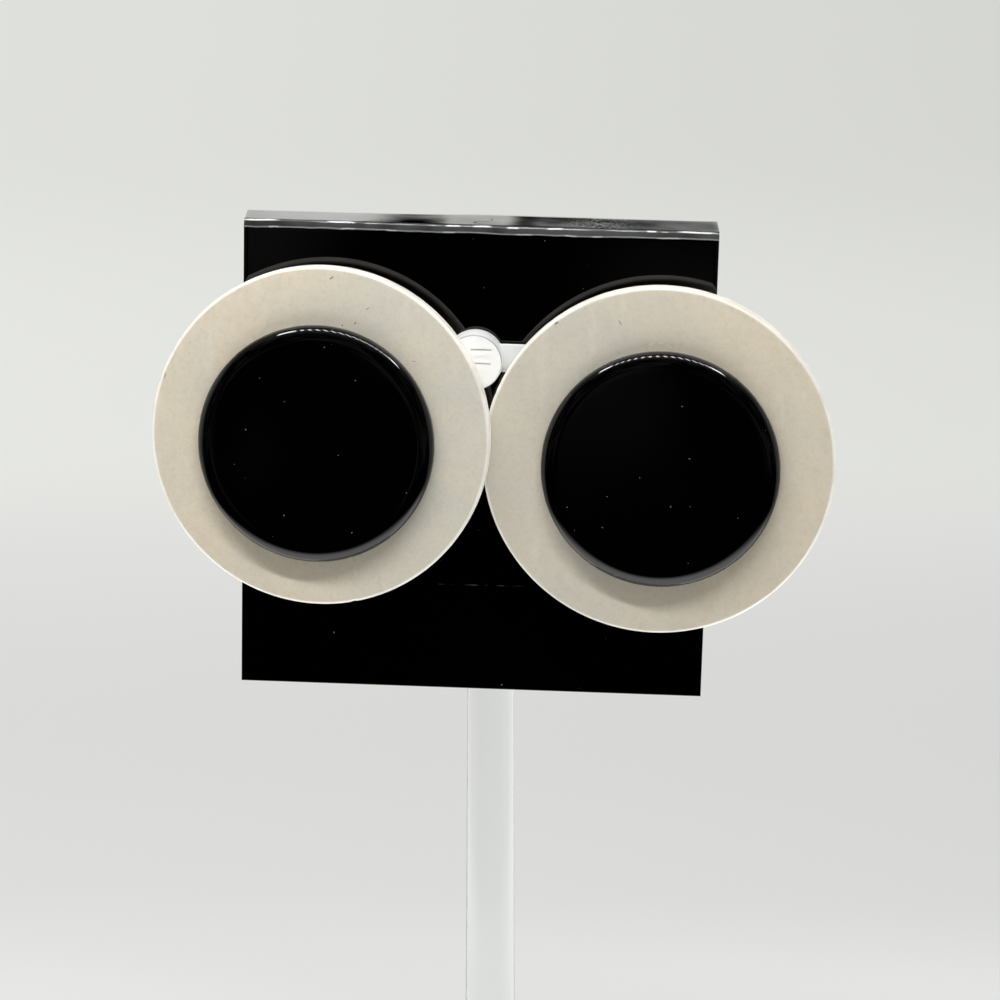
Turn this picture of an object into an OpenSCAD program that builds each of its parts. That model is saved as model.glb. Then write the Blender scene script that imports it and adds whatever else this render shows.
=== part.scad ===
// A pair of clip-on disc earrings on a folded display card, hung on a clear stand.
// Each earring is a black disc on a larger cream disc. All sizes are in millimetres.
// Z is up, the front faces -Y, and the origin is the centre of the foot's underside.

/* [Cream discs] */
// Diameter of the left cream disc
left_disc_d = 36.6; // [30:0.1:37]
// Diameter of the right cream disc
right_disc_d = 37.7; // [30:0.1:38]
// Thickness of the cream discs
disc_t = 2.2; // [1.5:0.1:3]
// Radius that rounds the edges of the cream discs
disc_edge_r = 0.45; // [0.2:0.05:0.7]

/* [Black discs] */
// Diameter of the black discs
cap_d = 25.55; // [20:0.05:28]
// Height of a black disc at its middle
cap_t = 1.65; // [1.5:0.05:3]
// Radius that rounds the front edge of a black disc
cap_edge_r = 0.9; // [0.5:0.05:1]
// Radius of the soft fall from the flat face to that edge
cap_crown_r = 3; // [2.5:0.1:5]
// Part of the black disc's radius that is flat
cap_flat_share = 0.868; // [0.85:0.002:0.9]

/* [How the earrings sit] */
// Left disc's centre, to the left of the card's middle
left_x = 16.43; // [16:0.01:17]
// Left disc's centre, below the top of the card
left_drop = 22.72; // [20:0.01:25]
// Space between the card and the middle of the left disc's back
left_gap = 2.46; // [2.46:0.01:3]
// How far the left disc turns its face to the left, in degrees
left_turn = 4.2; // [3.5:0.1:5]
// How far the left disc leans back at the top, in degrees
left_lean = 3.2; // [2:0.1:3.4]
// Right disc's centre, to the right of the card's middle
right_x = 19.79; // [19.5:0.01:20.5]
// Right disc's centre, below the top of the card
right_drop = 24.2; // [22:0.01:26]
// Space between the card and the middle of the right disc's back
right_gap = 2.48; // [2.3:0.01:2.49]
// How far the right disc turns its face to the left, in degrees
right_turn = 3.2; // [2.5:0.1:3.6]
// How far the right disc leans back at the top, in degrees
right_lean = 0.7; // [0:0.1:2]
// How far the left black disc sits off the cream disc's middle, sideways and up
left_cap_off = [-0.28, -0.71];
// How far the right black disc sits off the cream disc's middle, sideways and up
right_cap_off = [0.3, -0.7];

/* [Display card] */
// Width of the card
card_w = 50.8; // [48:0.1:54]
// Height of the card
card_h = 51.4; // [48:0.1:54]
// Thickness of the card's plastic sheet
sheet_t = 0.8; // [0.5:0.05:1]
// Outer radius of the fold at the top of the card
fold_r = 1; // [1:0.05:1.5]
// Depth of the folded lip at its left end
lip_left = 7.4; // [7:0.1:12]
// Depth of the folded lip at its right end
lip_right = 9.8; // [7:0.1:12]
// How far the lip's back left corner reaches out past the card's left edge
lip_flare = 0.5; // [0:0.1:1]
// How far the hanging card dips to the right, in degrees
card_roll = 1.28; // [0:0.01:2]
// How far the card's middle hangs to the left of the stem
card_shift = 0.93; // [0:0.01:2]

/* [Clip bar] */
// Width of the bar across the card
bar_w = 47; // [46:0.5:48]
// Height of the bar
bar_h = 3.05; // [2.5:0.05:3.5]
// Thickness of the bar
bar_t = 0.5; // [0.4:0.05:0.6]
// Middle of the bar, below the top of the card
bar_drop = 14.06; // [13:0.01:15]
// Space between the card and the back of the bar
bar_stand_off = 0.65; // [0.6:0.05:0.7]
// Width of the two feet that carry the bar
foot_w = 1.6; // [1:0.1:2]
// Diameter of the round button's face
button_d = 6; // [5:0.05:6.2]
// Diameter of the round button at the card
button_root_d = 6.3; // [5.2:0.05:6.5]
// Height of the button above the card
button_h = 2.75; // [2:0.05:2.8]
// Button's middle, to the left of the card's middle
button_x = 0.29; // [0:0.01:1]
// Button's middle, below the top of the card
button_drop = 14.33; // [13.5:0.01:15]
// Length of the two grooves in the button's face
groove_l = 2.2; // [1.5:0.1:4]
// Middle of the grooves, to the right of the button's middle
groove_shift = 0.7; // [0:0.05:1]
// Width of the grooves
groove_w = 0.2; // [0.1:0.05:0.4]
// Depth of the grooves
groove_depth = 0.3; // [0.1:0.05:0.4]
// Upper groove, above the button's middle
groove_rise = 1.4; // [0.6:0.05:1.6]
// Lower groove, below the button's middle
groove_fall = 0.1; // [0:0.05:1]

/* [Clips] */
// Width of an earring's clip
clip_w = 3; // [2:0.1:3]
// Thickness of the clip's metal
clip_t = 0.3; // [0.2:0.05:0.35]
// Diameter of the pad that is glued to the disc's back
pad_d = 9; // [6:0.5:12]
// Thickness of that pad
pad_t = 0.5; // [0.4:0.05:0.6]
// Space between the clip and the bar that it grips
clip_slip = 0.1; // [0.05:0.01:0.15]

/* [Stand] */
// Height of the card's top above the surface that the stand rests on
card_top = 115; // [108:1:130]
// Diameter of the stem at its top
stem_top_d = 4.57; // [4:0.01:5]
// Diameter of the stem at its foot
stem_foot_d = 5.9; // [5.2:0.01:6.5]
// Diameter of the stand's round foot
base_d = 60; // [50:1:70]
// Thickness of the foot
base_t = 5; // [4:0.5:8]
// Width of the polished slope round the foot's top edge
base_slope = 0.8; // [0.4:0.1:1.5]
// Depth of the socket that holds the stem
socket_depth = 3.5; // [2:0.5:3.5]

/* [Hidden] */
$fn = 96;

// Space left between pieces that are glued or that touch
fit_gap = 0.04;
// Space left round the stem in its socket
socket_gap = 0.05;
// Overlap that fuses shapes within one piece
fuse = 0.05;

stem_foot_z = base_t - socket_depth + fit_gap;
stem_top_z = card_top - sheet_t - fit_gap - (card_shift + stem_top_d / 2) * sin(card_roll);
card_foot_z = card_top - card_h;
// The stem's radius at the height of the card's lower edge
stem_r_at_card = stem_foot_d / 2
    + (stem_top_d - stem_foot_d) / 2 * (card_foot_z - stem_foot_z) / (stem_top_z - stem_foot_z);
// The card's front face, in front of the stem's axis
card_front = stem_r_at_card + fit_gap + sheet_t;
bar_back = bar_stand_off;
bar_front = bar_stand_off + bar_t;
bar_top = -bar_drop + bar_h / 2;
bar_foot = -bar_drop - bar_h / 2;
groove_left = groove_shift - button_x - groove_l / 2;
cap_r = cap_d / 2;
cap_flat_r = cap_r * cap_flat_share;
// The round edge's middle: its distance from the axis, and its height where the soft fall
// runs smoothly into the edge at this slope
cap_edge_mid_r = cap_r - cap_edge_r;
cap_slope = asin((cap_edge_mid_r - cap_flat_r) / (cap_crown_r - cap_edge_r));
cap_edge_mid_z = cap_t - cap_crown_r + (cap_crown_r - cap_edge_r) * cos(cap_slope);

// Puts its children on the hanging card: X across it, Z up, the card's front face at y = 0
// and its top edge at z = 0.
module on_card() {
    translate([-card_shift, -card_front, card_top])
        rotate([0, card_roll, 0])
            children();
}

// Puts its children on the back of an earring: the disc's back is at z = 0 and its axis is Z.
module on_earring(x, drop, gap, turn, lean) {
    on_card()
        translate([x, -gap, -drop])
            rotate([0, 0, -turn])
                rotate([90 - lean, 0, 0])
                    children();
}

module on_left() {
    on_earring(-left_x, left_drop, left_gap, left_turn, left_lean)
        children();
}

module on_right() {
    on_earring(right_x, right_drop, right_gap, right_turn, right_lean)
        children();
}

// A round-edged flat disc
module cream_disc(d) {
    r = d / 2;
    rotate_extrude() {
        square([r - disc_edge_r, disc_t]);
        translate([0, disc_edge_r])
            square([r, disc_t - 2 * disc_edge_r]);
        translate([r - disc_edge_r, disc_edge_r])
            circle(disc_edge_r);
        translate([r - disc_edge_r, disc_t - disc_edge_r])
            circle(disc_edge_r);
    }
}

// A disc that is flat in the middle and falls softly to a rounded front edge
module black_disc() {
    rotate_extrude() {
        square([cap_flat_r, cap_t]);
        square([cap_r, cap_edge_mid_z]);
        intersection() {
            translate([cap_edge_mid_r, cap_edge_mid_z])
                circle(cap_edge_r);
            square([cap_r, cap_t]);
        }
        intersection() {
            translate([cap_flat_r, cap_t - cap_crown_r])
                circle(cap_crown_r);
            square([cap_flat_r + cap_crown_r * sin(cap_slope), cap_t]);
        }
    }
}

// One bent strip of metal: a pad on the disc's back, a leaf up to the bar, and a hook over
// the bar and down behind it. It is drawn on the card.
module clip_leaf(x, drop, gap) {
    leaf_front = bar_front + clip_slip + clip_t;
    hook_back = bar_back - clip_slip;
    hook_top = bar_top + clip_slip + clip_t;
    pad_front = gap - fit_gap;
    translate([x - clip_w / 2, 0, 0])
        rotate([90, 0, 90])
            linear_extrude(clip_w)
                polygon([
                    [-pad_front + clip_t / 2, -drop],
                    [-leaf_front, bar_foot],
                    [-leaf_front, hook_top],
                    [-hook_back + clip_t, hook_top],
                    [-hook_back + clip_t, bar_foot + bar_h / 4],
                    [-hook_back, bar_foot + bar_h / 4],
                    [-hook_back, hook_top - clip_t],
                    [-leaf_front + clip_t, hook_top - clip_t],
                    [-leaf_front + clip_t, bar_foot],
                    [-pad_front + clip_t * 3 / 2, -drop]
                ]);
}

module clip_pad() {
    translate([0, 0, -pad_t - fit_gap])
        cylinder(h = pad_t, d = pad_d);
}

module stand_base() {
    color([0.88, 0.9, 0.9, 0.35])
        difference() {
            union() {
                cylinder(h = base_t - base_slope, d = base_d);
                translate([0, 0, base_t - base_slope])
                    cylinder(h = base_slope, d1 = base_d, d2 = base_d - 2 * base_slope);
            }
            translate([0, 0, base_t - socket_depth])
                cylinder(h = socket_depth + 1, d = stem_foot_d + 2 * socket_gap);
        }
}

module stand_stem() {
    color([0.88, 0.9, 0.9, 0.35])
        translate([0, 0, stem_foot_z])
            cylinder(h = stem_top_z - stem_foot_z, d1 = stem_foot_d, d2 = stem_top_d);
}

module display_card() {
    color([0.03, 0.03, 0.03])
        on_card() {
            // The front sheet and the fold, as one profile
            translate([-card_w / 2, 0, 0])
                rotate([90, 0, 90])
                    linear_extrude(card_w) {
                        translate([0, -card_h])
                            square([sheet_t, card_h - fold_r]);
                        intersection() {
                            difference() {
                                translate([fold_r, -fold_r])
                                    circle(fold_r);
                                translate([fold_r, -fold_r])
                                    circle(fold_r - sheet_t);
                            }
                            translate([0, -fold_r])
                                square(fold_r);
                        }
                    }
            // The lip that goes back over the stem
            translate([0, 0, -sheet_t])
                linear_extrude(sheet_t)
                    polygon([
                        [-card_w / 2, fold_r],
                        [card_w / 2, fold_r],
                        [card_w / 2, lip_right],
                        [-card_w / 2 - lip_flare, lip_left]
                    ]);
        }
}

module clip_bar() {
    color([0.9, 0.91, 0.93])
        on_card()
            difference() {
                union() {
                    translate([-bar_w / 2, -bar_front, bar_foot])
                        cube([bar_w, bar_t, bar_h]);
                    for (x = [-bar_w / 2, bar_w / 2 - foot_w])
                        translate([x, -bar_back - fuse, bar_foot])
                            cube([foot_w, bar_back + fuse - fit_gap, bar_h]);
                    translate([-button_x, -fit_gap, -button_drop])
                        rotate([90, 0, 0])
                            cylinder(h = button_h - fit_gap, d1 = button_root_d, d2 = button_d);
                }
                for (rise = [groove_rise, -groove_fall])
                    translate([groove_left, -button_h - 1, rise - button_drop - groove_w / 2])
                        cube([groove_l, groove_depth + 1, groove_w]);
            }
}

module left_cream_disc() {
    color([0.86, 0.83, 0.77])
        on_left()
            cream_disc(left_disc_d);
}

module left_black_disc() {
    color([0.02, 0.02, 0.02])
        on_left()
            translate([left_cap_off.x, left_cap_off.y, disc_t + fit_gap])
                black_disc();
}

module left_clip() {
    color([0.75, 0.75, 0.76]) {
        on_left()
            clip_pad();
        on_card()
            clip_leaf(-left_x, left_drop, left_gap);
    }
}

module right_cream_disc() {
    color([0.86, 0.83, 0.77])
        on_right()
            cream_disc(right_disc_d);
}

module right_black_disc() {
    color([0.02, 0.02, 0.02])
        on_right()
            translate([right_cap_off.x, right_cap_off.y, disc_t + fit_gap])
                black_disc();
}

module right_clip() {
    color([0.75, 0.75, 0.76]) {
        on_right()
            clip_pad();
        on_card()
            clip_leaf(right_x, right_drop, right_gap);
    }
}

stand_base();
stand_stem();
display_card();
clip_bar();
left_cream_disc();
left_black_disc();
left_clip();
right_cream_disc();
right_black_disc();
right_clip();
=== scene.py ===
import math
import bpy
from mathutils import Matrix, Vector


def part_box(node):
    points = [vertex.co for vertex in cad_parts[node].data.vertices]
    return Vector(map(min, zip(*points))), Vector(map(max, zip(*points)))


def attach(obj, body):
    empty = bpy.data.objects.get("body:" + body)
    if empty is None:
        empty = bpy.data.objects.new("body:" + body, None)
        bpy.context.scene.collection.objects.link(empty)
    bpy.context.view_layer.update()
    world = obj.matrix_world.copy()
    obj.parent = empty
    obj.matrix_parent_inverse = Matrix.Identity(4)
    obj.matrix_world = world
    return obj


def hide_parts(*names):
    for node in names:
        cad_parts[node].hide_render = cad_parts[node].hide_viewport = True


bl_info = {
    "name": "Disc Earrings on a Card Stand",
    "version": (1, 0, 0),
    "blender": (4, 5, 0),
    "location": "View3D > Sidebar > Earrings",
    "description": "Finishes a pair of disc earrings on a hanging display card and a clear stand",
    "category": "Object",
}

import bmesh
import bpy
from bpy.props import FloatProperty, FloatVectorProperty, IntProperty, PointerProperty
from mathutils import Matrix, Vector

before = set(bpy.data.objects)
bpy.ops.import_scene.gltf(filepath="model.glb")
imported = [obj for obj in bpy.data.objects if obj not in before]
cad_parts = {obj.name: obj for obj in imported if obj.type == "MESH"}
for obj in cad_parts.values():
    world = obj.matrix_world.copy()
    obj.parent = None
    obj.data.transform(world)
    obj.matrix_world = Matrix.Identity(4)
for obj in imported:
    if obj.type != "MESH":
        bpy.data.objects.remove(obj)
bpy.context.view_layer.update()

MM = 0.001
BODY = "root"
WHOLE_TURN = 2 * math.pi
MERGE_DISTANCE = 1e-7

STEM_LOW, STEM_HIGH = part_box("stand_stem")
BASE_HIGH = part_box("stand_base")[1]


# Properties

def length(name, description, size_mm):
    """A length in metres whose default is given in millimetres."""
    return FloatProperty(name=name, description=description, default=size_mm * MM, min=0.0,
                         precision=5, unit="LENGTH")


def place(name, description, size_mm):
    """A place along an axis, which may be negative, given in millimetres."""
    return FloatProperty(name=name, description=description, default=size_mm * MM,
                         precision=5, unit="LENGTH")


def turning(name, description, degrees):
    """An angle whose default is given in degrees."""
    return FloatProperty(name=name, description=description, default=math.radians(degrees),
                         subtype="ANGLE", unit="ROTATION")


def colour(name, description, rgb):
    """A linear colour."""
    return FloatVectorProperty(name=name, description=description, default=rgb, size=3,
                               min=0.0, max=1.0, subtype="COLOR")


class EarringSizes(bpy.types.PropertyGroup):
    """Sizes that both earrings share."""
    disc_t: length("Cream thickness", "Thickness of the cream discs", 2.2)
    disc_edge_r: length("Cream edge", "Radius that rounds the cream discs' edges", 0.45)
    cap_d: length("Black diameter", "Diameter of the black discs", 25.55)
    cap_t: length("Black height", "Height of the black discs at their middle", 1.65)
    cap_edge_r: length("Black edge", "Radius that rounds a black disc's front edge", 0.9)
    cap_crown_r: length("Black fall", "Radius of the soft fall to that edge", 3.0)
    cap_flat_share: FloatProperty(name="Flat share", description="Part of the radius that is flat",
                                  default=0.868, min=0.1, max=0.95)
    glue_gap: length("Glue gap", "Space between pieces that are glued or touch", 0.04)
    turn_steps: IntProperty(name="Steps", description="Steps of each turned shape", default=240)


class EarringPlace(bpy.types.PropertyGroup):
    """One earring's size and place on the card."""
    disc_d: length("Cream diameter", "Diameter of the cream disc", 36.6)
    across: place("Across", "Disc's centre, to the right of the card's middle", -16.43)
    drop: length("Drop", "Disc's centre, below the top of the card", 22.72)
    gap: length("Gap", "Space between the card and the middle of the disc's back", 2.46)
    turn: turning("Turn", "How far the face turns to the left", 4.2)
    lean: turning("Lean", "How far the disc leans back at the top", 3.2)
    cap_across: place("Black across", "Black disc's middle, right of the cream one's", -0.28)
    cap_up: place("Black up", "Black disc's middle, above the cream one's", -0.71)
    tone: FloatProperty(name="Tone", description="Lightness of the cream, 1 as chosen", default=1.0, min=0.0,
                        max=1.2)


class CardSizes(bpy.types.PropertyGroup):
    """Sizes of the hanging card and of the bar on it."""
    width: length("Width", "Width of the card", 50.8)
    height: length("Height", "Height of the card", 51.4)
    sheet_t: length("Sheet", "Thickness of the card's sheet", 0.8)
    fold_r: length("Fold", "Outer radius of the fold", 1.0)
    lip_left: length("Lip left", "Depth of the lip at its left end", 7.4)
    lip_right: length("Lip right", "Depth of the lip at its right end", 9.8)
    lip_flare: length("Lip flare", "How far the lip's back left corner reaches out", 0.5)
    roll: turning("Dip", "How far the card dips to the right", 1.28)
    shift: length("Shift", "How far the card's middle hangs to the left", 0.93)
    top: length("Top", "Height of the card's top above the floor", 115.0)
    front: length("Front", "Card's front face, in front of the stem's axis", 3.42)
    bar_w: length("Bar width", "Width of the bar across the card", 47.0)
    bar_h: length("Bar height", "Height of the bar", 3.05)
    bar_t: length("Bar thickness", "Thickness of the bar", 0.5)
    bar_drop: length("Bar drop", "Middle of the bar, below the card's top", 14.06)
    bar_stand_off: length("Stand-off", "Space between the card and the bar", 0.65)
    foot_w: length("Foot", "Width of the bar's two feet", 1.6)
    button_d: length("Button", "Diameter of the round button's face", 6.0)
    button_root_d: length("Button root", "Diameter of the button at the card", 6.3)
    button_h: length("Button height", "Height of the button above the card", 2.75)
    button_x: length("Button across", "Button's middle, left of the card's middle", 0.29)
    button_drop: length("Button drop", "Button's middle, below the card's top", 14.33)


class StandSizes(bpy.types.PropertyGroup):
    """Sizes of the clear stand."""
    stem_top_d: length("Stem top", "Diameter of the stem at its top", 4.57)
    stem_foot_d: length("Stem foot", "Diameter of the stem at its foot", 5.9)
    base_slope: length("Slope", "Width of the slope round the foot's top edge", 0.8)
    socket_gap: length("Socket gap", "Space round the stem in its socket", 0.05)
    edge_r: length("Polish", "Radius of the flame-polished edges", 0.2)


class Finishes(bpy.types.PropertyGroup):
    """Colours of the materials, in linear light."""
    cream: colour("Cream", "Cream plastic", (0.84, 0.752, 0.596))
    # Cream with painted shade, used towards the other disc
    cream_shaded: colour("Greyed cream", "Where the cream has greyed", (0.72, 0.69, 0.60))
    black: colour("Black", "Black plastic", (0.0004, 0.0004, 0.0004))
    dust: colour("Dust", "Dust on the black pieces", (0.42, 0.41, 0.39))
    speck: colour("Speck", "The larger specks on the black discs", (0.20, 0.20, 0.19))
    # Strength of a painted glow on the cream discs' edges
    edge_glow: FloatProperty(name="Edge glow", description="Light that leaves the cream discs' edges",
                             default=0.2, min=0.0)
    # Colour of a painted highlight along the cream discs' edges
    rim_highlight: colour("Worn edge", "Where the cream's edges are polished pale", (0.90, 0.87, 0.80))
    nylon: colour("Nylon", "White nylon of the bar", (0.83, 0.85, 0.86))
    button: colour("Button", "White nylon of the button", (0.98, 0.99, 0.99))
    # Darker nylon that paints shade on the button's wall
    button_wall_shade: colour("Button wall", "Nylon of the button's wall", (0.84, 0.85, 0.85))
    # Pale colour of the fold's faint whitening and of its painted glints
    fold_white_and_glint: colour("Stress", "Stress-whitened fold of the card", (0.95, 0.96, 0.98))
    clear: colour("Clear", "Clear acrylic", (0.97, 0.985, 0.985))
    plating: colour("Plating", "Plated metal of the clips", (0.72, 0.71, 0.69))
    studio: colour("Studio", "Pale floor and walls", (0.735, 0.745, 0.715))


class StudioSizes(bpy.types.PropertyGroup):
    """Places and strengths of the camera and the lights."""
    focal: FloatProperty(name="Focal length", description="Camera's focal length in millimetres",
                         default=108.0)
    camera_distance: length("Distance", "Camera's distance from the point it looks at", 326.6)
    camera_azimuth: turning("Azimuth", "Camera's turn round the stand", 2.387)
    camera_elevation: turning("Elevation", "Camera's angle above the horizon", 13.076)
    camera_roll: turning("Roll", "Camera's turn about its own axis", 0.12)
    aim_x: place("Aim across", "Point that the camera looks at, across", 1.15)
    aim_z: length("Aim height", "Point that the camera looks at, above the floor", 85.0)
    strip_power: FloatProperty(name="Strip power", description="Power of the strip above", default=0.62,
                               min=0.0)
    strip_shift: place("Strip shift", "How far the strip's light lies right of its picture in gloss", -20.0)
    strip_far: FloatProperty(name="Strip far", description="How much farther off the strip's light is",
                             default=1.4, min=1.0)
    bead_power: FloatProperty(name="Bead power", description="Power that shows of it in gloss",
                              default=0.8, min=0.0)
    wall_light: FloatProperty(name="Walls", description="Light of the studio's walls", default=0.885,
                              min=0.0)
    ceiling_light: FloatProperty(name="Ceiling", description="Light from above", default=0.27, min=0.0)
    left_light: FloatProperty(name="Left", description="Light from the left", default=0.68, min=0.0)
    right_light: FloatProperty(name="Right", description="Light from the right", default=0.5, min=0.0)
    back_light: FloatProperty(name="Back", description="Light from the back", default=1.0, min=0.0)
    room_light: FloatProperty(name="Room", description="Faint light of the room in front", default=0.09,
                              min=0.0)
    floor_light: FloatProperty(name="Floor", description="Light from below", default=2.1, min=0.0)


def sizes():
    return bpy.context.scene.earring_stand


class EarringStand(bpy.types.PropertyGroup):
    """All settings of the object and its studio."""
    earring: PointerProperty(type=EarringSizes)
    left: PointerProperty(type=EarringPlace)
    right: PointerProperty(type=EarringPlace)
    card: PointerProperty(type=CardSizes)
    stand: PointerProperty(type=StandSizes)
    finish: PointerProperty(type=Finishes)
    studio: PointerProperty(type=StudioSizes)


def place_right_earring(p):
    """Gives the right earring its own size and place."""
    p.disc_d = 37.7 * MM
    p.across = 19.79 * MM
    p.drop = 24.2 * MM
    p.gap = 2.48 * MM
    p.turn = math.radians(3.2)
    p.lean = math.radians(0.7)
    p.cap_across = 0.3 * MM
    p.cap_up = -0.7 * MM
    p.tone = 0.915


# Frames of the pieces

def on_card():
    """X across the card, Z up, the front face at y = 0 and the top edge at z = 0."""
    c = sizes().card
    return Matrix.Translation((-c.shift, -c.front, c.top)) @ Matrix.Rotation(c.roll, 4, "Y")


def on_earring(p):
    """The cream disc's back is at z = 0, its axis is Z and Y points up."""
    return (on_card() @ Matrix.Translation((p.across, -p.gap, -p.drop))
            @ Matrix.Rotation(-p.turn, 4, "Z")
            @ Matrix.Rotation(math.radians(90) - p.lean, 4, "X"))


def on_cap(p):
    """The black disc's back is at z = 0 and its axis is Z."""
    e = sizes().earring
    return on_earring(p) @ Matrix.Translation((p.cap_across, p.cap_up, e.disc_t + e.glue_gap))


# Shapes

def arc(centre, radius, start, end, steps):
    """Points (r, z) on an arc, with its angles in degrees from the r axis."""
    points = []
    for i in range(steps + 1):
        a = math.radians(start + (end - start) * i / steps)
        points.append((centre[0] + radius * math.cos(a), centre[1] + radius * math.sin(a)))
    return points


def chain(bm, points):
    """Joins points by edges, in order, and returns all of it."""
    verts = [bm.verts.new(p) for p in points]
    edges = [bm.edges.new(pair) for pair in zip(verts, verts[1:])]
    return verts + edges


def turned(profile, steps):
    """A closed shape turned about Z from a profile of (r, z) points."""
    bm = bmesh.new()
    geom = chain(bm, [(r, 0.0, z) for r, z in profile])
    bmesh.ops.spin(bm, geom=geom, cent=(0, 0, 0), axis=(0, 0, 1), dvec=(0, 0, 0),
                   angle=WHOLE_TURN, steps=steps, use_merge=True, use_duplicate=False)
    bmesh.ops.remove_doubles(bm, verts=bm.verts, dist=MERGE_DISTANCE)
    bmesh.ops.recalc_face_normals(bm, faces=bm.faces)
    return bm


def linked(name, data):
    """A new object in the scene."""
    new = bpy.data.objects.new(name, data)
    bpy.context.scene.collection.objects.link(new)
    return new


def smooth_object(name, bm, material):
    """Makes a shape an object with smooth faces and one material."""
    mesh = bpy.data.meshes.new(name)
    bm.to_mesh(mesh)
    bm.free()
    for polygon in mesh.polygons:
        polygon.use_smooth = True
    mesh.materials.append(material)
    return linked(name, mesh)


def finished(name, bm, matrix, material, replaced):
    """Places a shape, makes it a piece that rides on the body and hides the node it replaces."""
    bmesh.ops.transform(bm, matrix=matrix, verts=bm.verts)
    piece = smooth_object(name, bm, material)
    piece.data.set_sharp_from_angle(angle=math.radians(40))
    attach(piece, BODY)
    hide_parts(replaced)


# Materials

# Colour of the painted glow that pale plastic gives off, though no lamp is there
PAINTED_GLOW = (1.0, 0.97, 0.90)

# Painted glints, where the lamp's reflection lies on the card's fold, at its lower and its upper bend: across
# the card and half length, in mm
LOWER_GLINTS = ((-22.2, 1.0), (-14.2, 1.4), (-9.6, 1.1), (-3.4, 1.2), (4.6, 1.6), (9.6, 1.2), (12.4, 1.0),
                (20.0, 2.2))
UPPER_GLINTS = ((-23.6, 2.8), (-15.0, 2.2), (-3.0, 1.2), (0.1, 1.5), (3.4, 1.0), (7.9, 1.3), (18.2, 0.8),
                (23.0, 3.0))


class NodeTree:
    """Adds nodes to one node tree and links them."""

    def __init__(self, tree):
        self.tree = tree

    def add(self, kind, **values):
        node = self.tree.nodes.new(kind)
        for key, value in values.items():
            setattr(node, key, value)
        return node

    def link(self, a, b):
        self.tree.links.new(a, b)

    def feed(self, target, value):
        """Links a socket to an input, or sets the input to a value."""
        if isinstance(value, bpy.types.NodeSocket):
            self.link(value, target)
        elif target.type == "RGBA":
            target.default_value = (*value, 1.0)
        else:
            target.default_value = value

    def noise(self, scale, detail, stretch=(1, 1, 1)):
        """Noise from 0 to 1, with this many waves for each unit of the coordinates."""
        node = self.add("ShaderNodeTexNoise")
        node.inputs["Scale"].default_value = scale
        node.inputs["Detail"].default_value = detail
        source = self.where
        if stretch != (1, 1, 1):
            mapping = self.add("ShaderNodeMapping")
            mapping.inputs["Scale"].default_value = stretch
            self.link(source, mapping.inputs["Vector"])
            source = mapping.outputs["Vector"]
        self.link(source, node.inputs["Vector"])
        return node.outputs["Fac"]

    def between(self, value, low, high, out_low=0.0, out_high=1.0):
        """Maps low..high smoothly to out_low..out_high."""
        node = self.add("ShaderNodeMapRange", interpolation_type="SMOOTHSTEP")
        self.link(value, node.inputs["Value"])
        for key, v in (("From Min", low), ("From Max", high), ("To Min", out_low), ("To Max", out_high)):
            node.inputs[key].default_value = v
        return node.outputs["Result"]

    def calc(self, a, b, operation="ADD"):
        """The sum of two values, or what another operation makes of them."""
        node = self.add("ShaderNodeMath", operation=operation)
        self.feed(node.inputs[0], a)
        self.feed(node.inputs[1], b)
        return node.outputs["Value"]

    def axes(self, vector):
        """The three parts of a vector."""
        split = self.add("ShaderNodeSeparateXYZ")
        self.link(vector, split.inputs["Vector"])
        return split.outputs["X"], split.outputs["Y"], split.outputs["Z"]


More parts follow.
